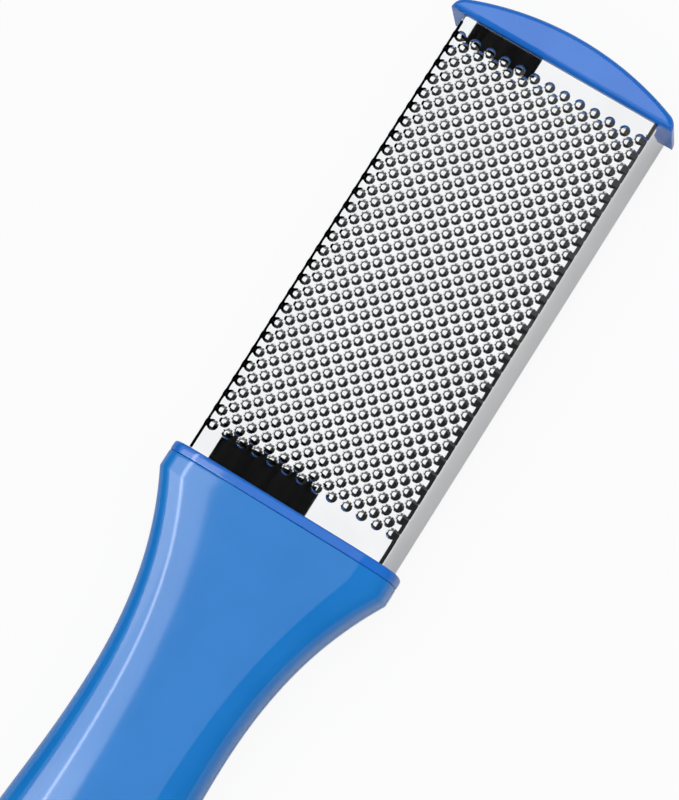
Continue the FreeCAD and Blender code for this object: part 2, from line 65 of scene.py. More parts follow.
# Steel head
TALLEST_DOME = 0.7 * MM
FACE_Z = COARSE_HIGH.z - TALLEST_DOME
HEAD_DEPTH = FACE_Z - COARSE_LOW.z
FLANGE_FLARE = 1.1 * MM
PLATE_HALF = COARSE_HIGH.y - FLANGE_FLARE
SHEET = 0.5 * MM
FOLD_RADIUS = 0.95 * MM
FOLD_WAVE = 0.2 * MM
FOLD_STEPS = 4
STEEL_SMOOTH_DEGREES = 50
CAP_POCKET = 1.3 * MM
CAP_X = COARSE_HIGH.x - CAP_POCKET
SLIP = 0.1 * MM

# Domes of the coarse plate
PITCH_ACROSS = 3.15 * MM
PITCH_ALONG = 3.096 * MM
DOME_ROWS = 28
DOME_COLUMNS = 13
DOME_RADIUS = 1.09 * MM
DOME_HEIGHT = 0.58 * MM
DOME_TO_CAP = 3.9 * MM
DOME_SIDES = 12
DOME_RING_SHARES = (1, 0.62, 0.3)
DOME_FILLET = 0.05 * MM

# Domes of the fine plate, in a denser field
FINE_PITCH_ACROSS = 2.1 * MM
FINE_PITCH_ALONG = 2.05 * MM
FINE_ROWS = 42
FINE_COLUMNS = 18
FINE_RADIUS = 0.55 * MM
FINE_HEIGHT = 0.35 * MM
FINE_FILLET = 0.11 * MM
FINE_SIDES = 8
FINE_RING_SHARES = (1, 0.5)
TRAY_EDGE = 4 * MM

# Handle
COLLAR_LENGTH = 5.4 * MM
WAIST_FROM_MOUTH = 45 * MM
GRIP_FROM_MOUTH = 88 * MM
WAIST_WIDTH = 28.8 * MM
GRIP_WIDTH = 34 * MM
MOUTH_WIDTH = RING_HIGH.y - RING_LOW.y
MOUTH_THICKNESS = RING_HIGH.z - RING_LOW.z
GRIP_THICKNESS = 2 * MIDDLE_Z
MOUTH_SQUARENESS = 4.6
GRIP_SQUARENESS = 2.6
TAPER_POWER = 2.4
END_POWER = 2.2
END_REACH_SHARE = 0.985
TAPER_SHARES = (0, 0.012, 0.05, 0.11, 0.2, 0.32, 0.46, 0.64, 0.82, 1)
GRIP_SHARES = (0.2, 0.4, 0.6, 0.8, 1)
END_SHARES = (0.2, 0.4, 0.58, 0.73, 0.85, 0.93, 0.975, 0.995, 1)
RING_POINTS = 32
RING_LENGTH = RING_HIGH.x - SHELL_HIGH.x
OUTER_ROUNDING = 2
HOLLOW_ROUNDING = 1
PLASTIC_SMOOTH_DEGREES = 35
SHELL_WALL = 1.6 * MM
END_WALL = 3.5 * MM
RIM_FACE = 1.2 * MM
RIM_ROUND_SHARE = 0.3
JOINT_RADIUS = 0.22 * MM
BAND_RADIUS = 0.5 * MM
COLLAR_EDGE = 0.4 * MM
PARTING_RISE = 0.14 * MM
PARTING_DEPTH = 0.2 * MM
HANG_HOLE_RADIUS = 3 * MM
HANG_FACE_RADIUS = 4.6 * MM
HANG_HOLE_WALL = 1.5 * MM
HANG_FACE_THICKNESS = 10 * MM
HANG_HOLE_FROM_END = 11.5 * MM
HANG_X = SHELL_LOW.x + HANG_HOLE_FROM_END
HANG_SIDES = 64

# Cap
CAP_SIDE_LENGTH = 1.9 * MM
CAP_CORNER_RADIUS = 2.8 * MM
CAP_SPARE_LENGTH = 6 * MM
CAP_CORNER_CUTS = 7
CAP_SHORTEST_EDGE = 0.3 * MM
CAP_RIM_STEPS = 5
CAP_RIM_RADIUS = 1.2 * MM
CAP_SIDES = 720
PEG_RADIUS = 2.2 * MM
PEG_SPREAD = 22 * MM
PEG_SIDES = 32

# Colours
HANDLE_DEEP = (0.008, 0.2, 0.62, 1)
HANDLE_BRIGHT = (0.014, 0.22, 0.67, 1)
TRIM_DEEP = (0.012, 0.15, 0.62, 1)
TRIM_BRIGHT = (0.018, 0.18, 0.68, 1)
POLISHED_TONE = (0.93, 0.94, 0.95, 1)
SATIN_TONE = (0.8, 0.81, 0.83, 1)
PIN_TONE = (0.62, 0.63, 0.65, 1)
CORE_TONE = (0.72, 0.73, 0.75, 1)

# Glossy plastic: patterns in waves to the metre, and the least and most of its roughness as shares
NOISE_SPREAD = (0.3, 0.7)
CLOUD_WAVES = 60
MOULD_GRAIN_WAVES = 2600
MOULD_GRAIN_STRENGTH = 0.03
MOULD_GRAIN_DEPTH = 0.02 * MM
GLOSS_SHARES = (0.8, 1.25)
PLASTIC_IOR = 1.5

# Steel
SCRATCH_WAVES = 900
SCRATCH_STRETCH = (0.06, 1, 1)
SCRATCH_DEPTH = 0.01 * MM
SHINE_SHARES = (0.7, 1.4)
TARNISH_WAVES = 120
TARNISH_SPREAD = (0.35, 0.65)
TARNISH_SHARE = 0.96

# Plain moulding of the core
CORE_GRAIN_WAVES = 1800
CORE_GRAIN_STRENGTH = 0.2
CORE_GRAIN_DEPTH = 0.03 * MM
CORE_ROUGHNESS = (0.45, 0.6)
CORE_SHADE_SHARE = 0.9

# Camera of the photograph
CAMERA_PLACE = Vector((-42.10, -115.24, 620.26)) * MM
CAMERA_AIM = Vector((30.23, 1.85, 14.2)) * MM
CAMERA_UP = Vector((0.83888, 0.50699, 0.19808))
CAMERA_LENS = 157.41
CAMERA_NEAREST = 1 * MM

# Light and floor
WORLD_STRENGTH = 0.03
WORLD_TINT = (0.9, 0.95, 1, 1)
WHITE = (1, 1, 1, 1)
FLOOR_TONE = (0.7, 0.7, 0.7, 1)
FLOOR_SIZE = 6
FLOOR_DROP = 0.2 * MM
FLOOR_WHITE_SHARE = 0.92
FLOOR_MIRRORED_SHARE = 0.04


# Small modelling steps
def pick(*things):
    """Select these objects alone and make the first one active."""
    bpy.ops.object.select_all(action="DESELECT")
    for thing in things:
        thing.select_set(True)
    bpy.context.view_layer.objects.active = things[0]


def open_piece(name):
    """Name the primitive that was just added, and open it in edit mode."""
    thing = bpy.context.object
    thing.name = name
    thing.data.name = name
    bpy.ops.object.mode_set(mode="EDIT")
    return thing


def close_piece(thing):
    """Leave edit mode and move the object's place into its mesh."""
    bpy.ops.object.mode_set(mode="OBJECT")
    pick(thing)
    bpy.ops.object.transform_apply(location=True, rotation=True, scale=True)
    return thing


def select_where(mode, wanted):
    """Select the vertices, edges or faces whose points all pass a test."""
    bpy.ops.mesh.select_mode(type=mode)
    bpy.ops.mesh.select_all(action="DESELECT")
    mesh = bpy.context.object.data
    place = bpy.context.object.location
    net = bmesh.from_edit_mesh(mesh)
    if mode == "VERT":
        for vert in net.verts:
            vert.select = wanted(vert.co + place)
    else:
        for part in net.edges if mode == "EDGE" else net.faces:
            part.select = all(wanted(vert.co + place) for vert in part.verts)
    net.select_flush(True)
    bmesh.update_edit_mesh(mesh)


def apply_modifiers(thing):
    pick(thing)
    for modifier in list(thing.modifiers):
        bpy.ops.object.modifier_apply(modifier=modifier.name)


def combine(thing, other, operation):
    """Add, cut or share one closed piece with another, which is thrown away."""
    modifier = thing.modifiers.new("Combine", "BOOLEAN")
    modifier.operation = operation
    modifier.solver = "EXACT"
    modifier.object = other
    apply_modifiers(thing)
    bpy.data.objects.remove(other)


def copy_of(thing, name):
    pick(thing)
    bpy.ops.object.duplicate()
    copy = bpy.context.object
    copy.name = name
    copy.data.name = name
    return copy


def join(*things):
    pick(*things)
    bpy.ops.object.join()


def merge_doubles(thing, distance):
    pick(thing)
    bpy.ops.object.mode_set(mode="EDIT")
    bpy.ops.mesh.select_all(action="SELECT")
    bpy.ops.mesh.remove_doubles(threshold=distance)
    bpy.ops.mesh.normals_make_consistent(inside=False)
    bpy.ops.object.mode_set(mode="OBJECT")


def finish_surface(thing, degrees):
    """Faces that look outwards, smooth shading up to an angle, and large flat faces kept flat."""
    merge_doubles(thing, SAME_POINT)
    pick(thing)
    bpy.ops.object.mode_set(mode="EDIT")
    if bmesh.from_edit_mesh(thing.data).calc_volume(signed=True) < 0:
        bpy.ops.mesh.flip_normals()
    bpy.ops.object.mode_set(mode="OBJECT")
    bpy.ops.object.shade_smooth_by_angle(angle=math.radians(degrees))
    modifier = thing.modifiers.new("Flat faces", "WEIGHTED_NORMAL")
    modifier.keep_sharp = True
    apply_modifiers(thing)


def hang_rod(name, radius, low, high):
    """An upright rod on the axis of the hang hole."""
    bpy.ops.mesh.primitive_cylinder_add(
        vertices=HANG_SIDES, radius=radius, depth=high - low, location=(HANG_X, 0, (low + high) / 2)
    )
    return close_piece(open_piece(name))


def flange_half(height, inward):
    """Half width of the flared head at a height, moved in from its outer face."""
    return PLATE_HALF + FLANGE_FLARE * (FACE_Z - height) / HEAD_DEPTH - inward


def head_block(name, low_x, high_x, clearance):
    """A straight block as deep as the head and as wide as its upper face, with a clearance all round."""
    low, high = FACE_Z - HEAD_DEPTH - clearance, FACE_Z + clearance
    half = flange_half(high, -clearance)
    bpy.ops.mesh.primitive_cube_add(size=1, location=((low_x + high_x) / 2, 0, (low + high) / 2))
    block = open_piece(name)
    bpy.ops.mesh.select_all(action="SELECT")
    bpy.ops.transform.resize(value=(high_x - low_x, 2 * half, high - low))
    return close_piece(block)


# Handle form, measured as a distance behind the mouth
def between(low, high, share):
    return low + (high - low) * share


def ease(share):
    return share * share * (3 - 2 * share)


def end_closing(distance):
    """How far the rounded end has closed: one at the grip, and small at the tip."""
    reach = (distance - GRIP_FROM_MOUTH) / (HANDLE_LENGTH - GRIP_FROM_MOUTH)
    return (1 - (reach * END_REACH_SHARE) ** END_POWER) ** (1 / END_POWER)


def grip_share(distance):
    return min(1, max(0, (distance - COLLAR_LENGTH) / (GRIP_FROM_MOUTH - COLLAR_LENGTH)))


def half_width(distance):
    if distance <= COLLAR_LENGTH:
        return MOUTH_WIDTH / 2
    if distance <= WAIST_FROM_MOUTH:
        share = (distance - COLLAR_LENGTH) / (WAIST_FROM_MOUTH - COLLAR_LENGTH)
        return between(WAIST_WIDTH, MOUTH_WIDTH, (1 - share) ** TAPER_POWER) / 2
    if distance <= GRIP_FROM_MOUTH:
        share = (distance - WAIST_FROM_MOUTH) / (GRIP_FROM_MOUTH - WAIST_FROM_MOUTH)
        return between(WAIST_WIDTH, GRIP_WIDTH, ease(share)) / 2
    return GRIP_WIDTH / 2 * end_closing(distance)


def half_thickness(distance):
    if distance <= GRIP_FROM_MOUTH:
        return between(MOUTH_THICKNESS, GRIP_THICKNESS, ease(grip_share(distance))) / 2
    return GRIP_THICKNESS / 2 * end_closing(distance)


def add_ring(distance, inset):
    """One section of the handle: a circle pushed out to a rounded rectangle of that place's size."""
    bpy.ops.mesh.primitive_circle_add(
        vertices=RING_POINTS,
        radius=1,
        location=(MOUTH_X - distance, 0, MIDDLE_Z),
        rotation=(0, math.pi / 2, 0),
    )
    grip = 1 - (1 - grip_share(distance)) ** 2
    power = 2 / between(MOUTH_SQUARENESS, GRIP_SQUARENESS, grip)
    mesh = bpy.context.object.data
    net = bmesh.from_edit_mesh(mesh)
    for vert in net.verts:
        if vert.select:
            up = vert.co.z - MIDDLE_Z
            across = math.copysign(abs(vert.co.y) ** power, vert.co.y)
            up = math.copysign(abs(up) ** power, up) if abs(up) > TINY else 0
            vert.co.y = across * (half_width(distance) - inset)
            vert.co.z = MIDDLE_Z + up * (half_thickness(distance) - inset)
    bmesh.update_edit_mesh(mesh)


def rim(distance, away, radius):
    """Stations round the edge of an end face, starting on the face."""
    return [
        (distance, radius),
        (distance + away * radius * RIM_ROUND_SHARE, radius * RIM_ROUND_SHARE),
        (distance + away * radius, 0),
    ]


def form_stations(first, last, inset):
    """Stations along the handle between two places, both left out."""
    places = [COLLAR_LENGTH - COLLAR_EDGE, COLLAR_LENGTH + COLLAR_EDGE]
    places += [between(COLLAR_LENGTH, WAIST_FROM_MOUTH, share) for share in TAPER_SHARES]
    places += [between(WAIST_FROM_MOUTH, GRIP_FROM_MOUTH, share) for share in GRIP_SHARES]
    places += [between(GRIP_FROM_MOUTH, HANDLE_LENGTH, share) for share in END_SHARES]
    return [(place, inset) for place in sorted(places) if first + TINY < place < last - TINY]


def handle_form(name, stations, rounding):
    """A closed form through stations of the handle: rings that are bridged, and rounded by subdivision.

    The first circle only starts the piece, and is deleted. An end face inside a rounded rim gets an
    inner ring of its own, which keeps the face flat when it is subdivided.
    """
    bpy.ops.mesh.primitive_circle_add(vertices=3, radius=MM)
    form = open_piece(name)
    bpy.ops.mesh.select_all(action="SELECT")
    bpy.ops.mesh.delete(type="VERT")
    for distance, inset in stations:
        add_ring(distance, inset)
    bpy.ops.mesh.select_all(action="SELECT")
    bpy.ops.mesh.bridge_edge_loops()
    for distance, inset in (stations[0], stations[-1]):
        place_x = MOUTH_X - distance
        select_where("EDGE", lambda spot: abs(spot.x - place_x) < TINY)
        bpy.ops.mesh.edge_face_add()
        if inset and rounding == OUTER_ROUNDING:
            bpy.ops.mesh.inset(thickness=RIM_FACE)
    close_piece(form)
    merge_doubles(form, TINY)
    modifier = form.modifiers.new("Smooth form", "SUBSURF")
    modifier.levels = rounding
    modifier.render_levels = rounding
    apply_modifiers(form)
    return form


def cut_at(thing, place, facing, fill, reach=TINY):
    """Keep the part of a piece that lies behind a plane, and close it there if it is to be filled."""
    pick(thing)
    bpy.ops.object.mode_set(mode="EDIT")
    bpy.ops.mesh.select_all(action="SELECT")
    bpy.ops.mesh.bisect(plane_co=place, plane_no=facing, clear_outer=True, use_fill=fill, threshold=reach)
    bpy.ops.object.mode_set(mode="OBJECT")


def build_shells():
    """The upper shell, and its mirror image below the parting plane."""
    first = RING_LENGTH + JOINT_RADIUS
    stations = rim(RING_LENGTH, 1, JOINT_RADIUS) + form_stations(first, HANDLE_LENGTH, 0)
    shell = handle_form("front_shell", stations + [(HANDLE_LENGTH, 0)], OUTER_ROUNDING)
    seam = MIDDLE_Z + PARTING_RISE
    cut_at(shell, (0, 0, seam), (0, 0, -1), True, FILLED_CUT_REACH)
    pick(shell)
    bpy.ops.object.mode_set(mode="EDIT")
    select_where("FACE", lambda spot: abs(spot.z - seam) < TINY)
    bpy.ops.mesh.inset(thickness=PARTING_DEPTH)
    bpy.ops.transform.translate(value=(0, 0, -PARTING_RISE))
    bpy.ops.object.mode_set(mode="OBJECT")
    front, back = RING_LENGTH - OVERRUN, HANDLE_LENGTH - END_WALL
    stations = [(front, SHELL_WALL)] + form_stations(front, back, SHELL_WALL) + [(back, SHELL_WALL)]
    hollow = handle_form("hollow", stations, HOLLOW_ROUNDING)
    top = MIDDLE_Z + GRIP_THICKNESS
    face = MIDDLE_Z + HANG_FACE_THICKNESS / 2
    combine(hollow, hang_rod("boss", HANG_FACE_RADIUS + HANG_HOLE_WALL, 0, top), "DIFFERENCE")
    combine(shell, hollow, "DIFFERENCE")
    combine(shell, hang_rod("counterbore", HANG_FACE_RADIUS, face, top), "DIFFERENCE")
    combine(shell, hang_rod("bore", HANG_HOLE_RADIUS, 0, top), "DIFFERENCE")
    lower = copy_of(shell, "back_shell")
    pick(lower)
    bpy.ops.object.mode_set(mode="EDIT")
    bpy.ops.mesh.select_all(action="SELECT")
    bpy.ops.transform.resize(value=(1, 1, -1), center_override=(0, 0, MIDDLE_Z))
    bpy.ops.mesh.flip_normals()
    bpy.ops.object.mode_set(mode="OBJECT")
    for piece in (shell, lower):
        finish_surface(piece, PLASTIC_SMOOTH_DEGREES)
    return shell, lower


def build_band():
    """The band round the mouth: rounded at both rims, and open for the plates."""
    stations = rim(0, 1, BAND_RADIUS) + rim(RING_LENGTH, -1, JOINT_RADIUS)[::-1]
    band = handle_form("mouth_band", stations, OUTER_ROUNDING)
    slot = head_block("slot", RING_LOW.x - OVERRUN, RING_HIGH.x + OVERRUN, SLIP)
    combine(band, slot, "DIFFERENCE")
    finish_surface(band, PLASTIC_SMOOTH_DEGREES)
    return band


# Steel sheets with domes
def dome_tile(name, place, field):
    """A rhombus of flat sheet with one dome in its middle, and a point round it for each dome side."""
    bpy.ops.mesh.primitive_circle_add(vertices=field.sides, radius=field.radius, location=place)
    tile = open_piece(name)
    bpy.ops.mesh.select_all(action="SELECT")
    slope = 2 * math.atan(field.height / field.radius)
    ball = field.radius / math.sin(slope) - field.fillet
    foot = slope / 2
    rings = [(field.radius - field.fillet * math.sin(foot), field.fillet * (1 - math.cos(foot)))]
    for share in field.ring_shares:
        turn = slope * share
        rings.append((ball * math.sin(turn), field.height - ball * (1 - math.cos(turn))))
    radius, up = field.radius, 0
    for new_radius, new_up in rings:
        bpy.ops.mesh.extrude_edges_move(TRANSFORM_OT_translate={"value": (0, 0, new_up - up)})
        shrink = new_radius / radius
        bpy.ops.transform.resize(value=(shrink, shrink, 1), center_override=place)
        radius, up = new_radius, new_up
    bpy.ops.mesh.extrude_edges_move(TRANSFORM_OT_translate={"value": (0, 0, field.height - up)})
    bpy.ops.mesh.merge(type="CENTER")
    bpy.ops.mesh.primitive_circle_add(vertices=4, radius=1, location=place)
    shape_rhombus(place, field)
    select_where("EDGE", lambda spot: abs(spot.z - place[2]) < TINY)
    bpy.ops.mesh.bridge_edge_loops()
    return close_piece(tile)


def flat_tile(name, place, field):
    """A rhombus of flat sheet with the same points round it."""
    bpy.ops.mesh.primitive_circle_add(vertices=4, radius=1, location=place, fill_type="NGON")
    tile = open_piece(name)
    bpy.ops.mesh.select_all(action="SELECT")
    shape_rhombus(place, field)
    return close_piece(tile)


def shape_rhombus(place, field):
    """Stretch four selected corners to the pitch of the domes, and divide the sides between them."""
    half_size = (field.pitch_along / 2, field.pitch_across / 2, 1)
    bpy.ops.transform.resize(value=half_size, center_override=place)
    bpy.ops.mesh.subdivide(number_cuts=field.sides // 4 - 1)


def repeat(tile, rows, columns, row_step, column_step):
    """Copy a tile along the sheet and across it."""
    for count, step in ((rows, (-row_step, 0, 0)), (columns, (0, column_step, 0))):
        modifier = tile.modifiers.new("Row", "ARRAY")
        modifier.count = count
        modifier.use_relative_offset = False
        modifier.use_constant_offset = True
        modifier.constant_offset_displace = step
    apply_modifiers(tile)


def build_domes(name, field):
    """The flat face with its domes: full rows, staggered rows between them, and flat tiles round both."""
    along, across = field.pitch_along, field.pitch_across
    side = -(field.columns - 1) / 2 * across
    full = dome_tile(name, (field.last_x, side, FACE_Z), field)
    repeat(full, field.rows, field.columns, along, across)
    staggered_place = (field.last_x - along / 2, side + across / 2, FACE_Z)
    between_rows = dome_tile("staggered", staggered_place, field)
    repeat(between_rows, field.rows - 1, field.columns - 1, along, across)
    edge_side = side - across / 2
    ends = flat_tile("ends", (field.last_x + along / 2, edge_side, FACE_Z), field)
    repeat(ends, 2, field.columns + 1, along * field.rows, across)
    sides = flat_tile("sides", (field.last_x - along / 2, edge_side, FACE_Z), field)
    repeat(sides, field.rows - 1, 2, along, across * field.columns)
    join(full, between_rows, ends, sides)
    merge_doubles(full, TINY)
    return full


def extrude_edges(wanted, x, y, z):
    """Pull new faces out of the edges that pass a test."""
    select_where("EDGE", wanted)
    bpy.ops.mesh.extrude_edges_move(TRANSFORM_OT_translate={"value": (x, y, z)})


def build_sheet(name, field, face_half, rim_half, depth):
    """A folded sheet with its face up: domes, the flat strips beyond them, rounded folds and flanges."""
    low_x, high_x = COARSE_LOW.x, COARSE_HIGH.x
    lean = (rim_half - face_half) / depth
    fold_turn = math.pi / 2 - math.atan(lean)
    flat_half = face_half - FOLD_RADIUS * math.tan(fold_turn / 2)
    field_half = min(flat_half, field.columns / 2 * field.pitch_across)
    strip = flat_half - field_half
    field_high = field.last_x + field.pitch_along / 2
    field_low = field_high - field.rows * field.pitch_along
    corners = []
    for step in range(FOLD_STEPS + 1):
        turn = fold_turn * step / FOLD_STEPS
        corner_z = FACE_Z - FOLD_RADIUS * (1 - math.cos(turn))
        corners.append((flat_half + FOLD_RADIUS * math.sin(turn), corner_z))
    corners.append((rim_half, FACE_Z - depth))
    sheet = build_domes(name, field)
    cut_at(sheet, (field_high, 0, 0), (1, 0, 0), False)
    cut_at(sheet, (field_low, 0, 0), (-1, 0, 0), False)
    cut_at(sheet, (0, field_half, 0), (0, 1, 0), False)
    cut_at(sheet, (0, -field_half, 0), (0, -1, 0), False)
    pick(sheet)
    bpy.ops.object.mode_set(mode="EDIT")
    extrude_edges(lambda spot: abs(spot.x - field_high) < TINY, high_x - field_high, 0, 0)
    extrude_edges(lambda spot: abs(spot.x - field_low) < TINY, low_x - field_low, 0, 0)
    for sign in (-1, 1):
        if strip > TINY:
            extrude_edges(lambda spot: abs(spot.y * sign - field_half) < TINY, 0, strip * sign, 0)
        select_where("EDGE", lambda spot: abs(spot.y * sign - flat_half) < TINY)
        for (old_y, old_z), (new_y, new_z) in zip(corners, corners[1:]):
            move = (0, (new_y - old_y) * sign, new_z - old_z)
            bpy.ops.mesh.extrude_edges_move(TRANSFORM_OT_translate={"value": move})
        bpy.ops.transform.resize(value=(1, 1, 0), center_override=(0, 0, FACE_Z - depth))
    wave_folds(sheet, field, flat_half, face_half)
    add_underside(low_x, high_x, face_half, lean, depth)
    bpy.ops.object.mode_set(mode="OBJECT")
    finish_surface(sheet, STEEL_SMOOTH_DEGREES)
    return sheet


def wave_folds(sheet, field, flat_half, face_half):
    """Push the inner edge of both folds out between the domes, as pressing the domes so near them does."""
    net = bmesh.from_edit_mesh(sheet.data)
    last_x, first_x = field.last_x, field.last_x - (field.rows - 1) * field.pitch_along
    for vert in net.verts:
        outward = (abs(vert.co.y) - flat_half) / (face_half - flat_half)
        if -TINY < outward < 1 and first_x < vert.co.x < last_x:
            wave = (1 - math.cos(2 * math.pi * (last_x - vert.co.x) / field.pitch_along)) / 2
            vert.co.y += math.copysign(FOLD_WAVE * wave * (1 - outward), vert.co.y)
    bmesh.update_edit_mesh(sheet.data)


def add_underside(low_x, high_x, face_half, lean, depth):
    """The inner skin of the sheet, and the narrow rims that close it all round."""
    top, bottom = FACE_Z - SHEET, FACE_Z - depth
    inward = SHEET * math.hypot(1, lean)
    middle = ((low_x + high_x) / 2, 0, top)
    top_half = face_half + lean * SHEET - inward
    bottom_half = face_half + lean * depth - inward
    bpy.ops.mesh.select_all(action="DESELECT")
    bpy.ops.mesh.primitive_plane_add(size=1, location=middle)
    bpy.ops.transform.resize(value=(high_x - low_x, 2 * top_half, 1), center_override=middle)
    for sign in (-1, 1):
        extrude_edges(
            lambda spot: abs(spot.z - top) < TINY and abs(spot.y * sign - top_half) < TINY,
            0,
            (bottom_half - top_half) * sign,
            bottom - top,
        )
        select_where("VERT", lambda spot: abs(spot.z - bottom) < TINY and spot.y * sign > 0)
        bpy.ops.mesh.edge_face_add()
    for end_x in (low_x, high_x):
        select_where("EDGE", lambda spot: abs(spot.x - end_x) < TINY)
        bpy.ops.mesh.edge_face_add()


COARSE_FIELD = SimpleNamespace(
    pitch_along=PITCH_ALONG,
    pitch_across=PITCH_ACROSS,
    rows=DOME_ROWS,
    columns=DOME_COLUMNS,
    radius=DOME_RADIUS,
    height=DOME_HEIGHT,
    fillet=DOME_FILLET,
    ring_shares=DOME_RING_SHARES,
    sides=DOME_SIDES,
    last_x=CAP_X - DOME_TO_CAP,
)
FINE_FIELD = SimpleNamespace(
    pitch_along=FINE_PITCH_ALONG,
    pitch_across=FINE_PITCH_ACROSS,
    rows=FINE_ROWS,
    columns=FINE_COLUMNS,
    radius=FINE_RADIUS,
    height=FINE_HEIGHT,
    fillet=FINE_FILLET,
    ring_shares=FINE_RING_SHARES,
    sides=FINE_SIDES,
    last_x=CAP_X - DOME_TO_CAP,
)


def build_coarse_plate():
    rim_half = PLATE_HALF + FLANGE_FLARE
    return build_sheet("coarse_plate", COARSE_FIELD, PLATE_HALF, rim_half, HEAD_DEPTH)


def build_fine_plate():
    """The back face is drawn face up like the front one, then turned over about the middle of the head."""
    inward = SHEET * math.hypot(1, FLANGE_FLARE / HEAD_DEPTH) + SLIP
    low = FACE_Z - HEAD_DEPTH
    face_half, rim_half = flange_half(low, inward), flange_half(low + TRAY_EDGE, inward)
    plate = build_sheet("fine_plate", FINE_FIELD, face_half, rim_half, TRAY_EDGE)
    pick(plate)
    bpy.ops.object.mode_set(mode="EDIT")
    bpy.ops.mesh.select_all(action="SELECT")
    bpy.ops.transform.resize(value=(1, 1, -1), center_override=(0, 0, (FACE_Z + low) / 2))
    bpy.ops.mesh.flip_normals()
    bpy.ops.object.mode_set(mode="OBJECT")
    finish_surface(plate, STEEL_SMOOTH_DEGREES)
    return plate


# End cap: a slice of a wide drum, with rounded rims and a recess for the plates
def round_rim(wanted):
    """Round the edges that pass a test."""
    select_where("EDGE", wanted)
    bpy.ops.mesh.bevel(offset=CAP_RIM_RADIUS, segments=CAP_RIM_STEPS, affect="EDGES")


def lip_block(middle_z, tall, half):
    """A block that trims the cap's inner face, with the two long edges of that face rounded."""
    length = CAP_HIGH.x + OVERRUN - CAP_X
    bpy.ops.mesh.primitive_cube_add(size=1, location=(CAP_X + length / 2, 0, middle_z))
    block = open_piece("lip")
    bpy.ops.transform.resize(value=(length, 2 * half, tall))
    close_piece(block)
    bpy.ops.object.mode_set(mode="EDIT")
    for side in (-1, 1):
        rim_z = middle_z + side * tall / 2
        round_rim(lambda spot: abs(spot.x - CAP_X) < TINY and abs(spot.z - rim_z) < TINY)
    bpy.ops.object.mode_set(mode="OBJECT")
    return block


def build_cap():
    """The crescent with its corners, rims, recess and the two pegs that hold it in the core."""
    half, tall = CAP_HIGH.y, CAP_HIGH.z - CAP_LOW.z
    bulge = CAP_HIGH.x - CAP_X - CAP_SIDE_LENGTH
    radius = (half ** 2 + bulge ** 2) / (2 * bulge)
    middle = (CAP_HIGH.x - radius, 0, (CAP_HIGH.z + CAP_LOW.z) / 2)
    bpy.ops.mesh.primitive_cylinder_add(vertices=CAP_SIDES, radius=radius, depth=tall, location=middle)
    cap = close_piece(open_piece("crescent_cap"))
    cut_at(cap, (CAP_X - CAP_SPARE_LENGTH, 0, 0), (-1, 0, 0), True)
    corner_y = half - CAP_CORNER_RADIUS
    corner_x = middle[0] + math.sqrt((radius - CAP_CORNER_RADIUS) ** 2 - corner_y ** 2)
    last_turn = math.asin(corner_y / (radius - CAP_CORNER_RADIUS))
    for side in (-1, 1):
        corner = Vector((corner_x, side * corner_y, 0))
        for step in range(CAP_CORNER_CUTS):
            turn = between(math.pi / 2, last_turn, step / CAP_CORNER_CUTS)
            facing = Vector((math.cos(turn), side * math.sin(turn), 0))
            cut_at(cap, corner + facing * CAP_CORNER_RADIUS, facing, True)
    merge_doubles(cap, CAP_SHORTEST_EDGE)
    pick(cap)
    bpy.ops.object.mode_set(mode="EDIT")
    for side in (-1, 1):
        rim_z = middle[2] + side * tall / 2
        round_rim(lambda spot: abs(spot.z - rim_z) < TINY)
    bpy.ops.object.mode_set(mode="OBJECT")
    combine(cap, lip_block(middle[2], tall + 2 * TINY, half + OVERRUN), "INTERSECT")
    combine(cap, head_block("recess", CAP_X - OVERRUN, CAP_X + CAP_POCKET, SLIP), "DIFFERENCE")
    peg_end = CAP_X + CAP_POCKET + OVERRUN
    for side in (-1, 1):
        bpy.ops.mesh.primitive_cylinder_add(
            vertices=PEG_SIDES,
            radius=PEG_RADIUS,
            depth=peg_end - CAP_LOW.x,
            location=((peg_end + CAP_LOW.x) / 2, side * PEG_SPREAD / 2, middle[2]),
            rotation=(0, math.pi / 2, 0),
        )
        combine(cap, close_piece(open_piece("peg")), "UNION")
    finish_surface(cap, PLASTIC_SMOOTH_DEGREES)
    return cap


# Materials: a mix node's sockets for a share and two colours, and for the colour that comes out
MIX_INPUTS = (0, 6, 7)
MIX_RESULT = 2


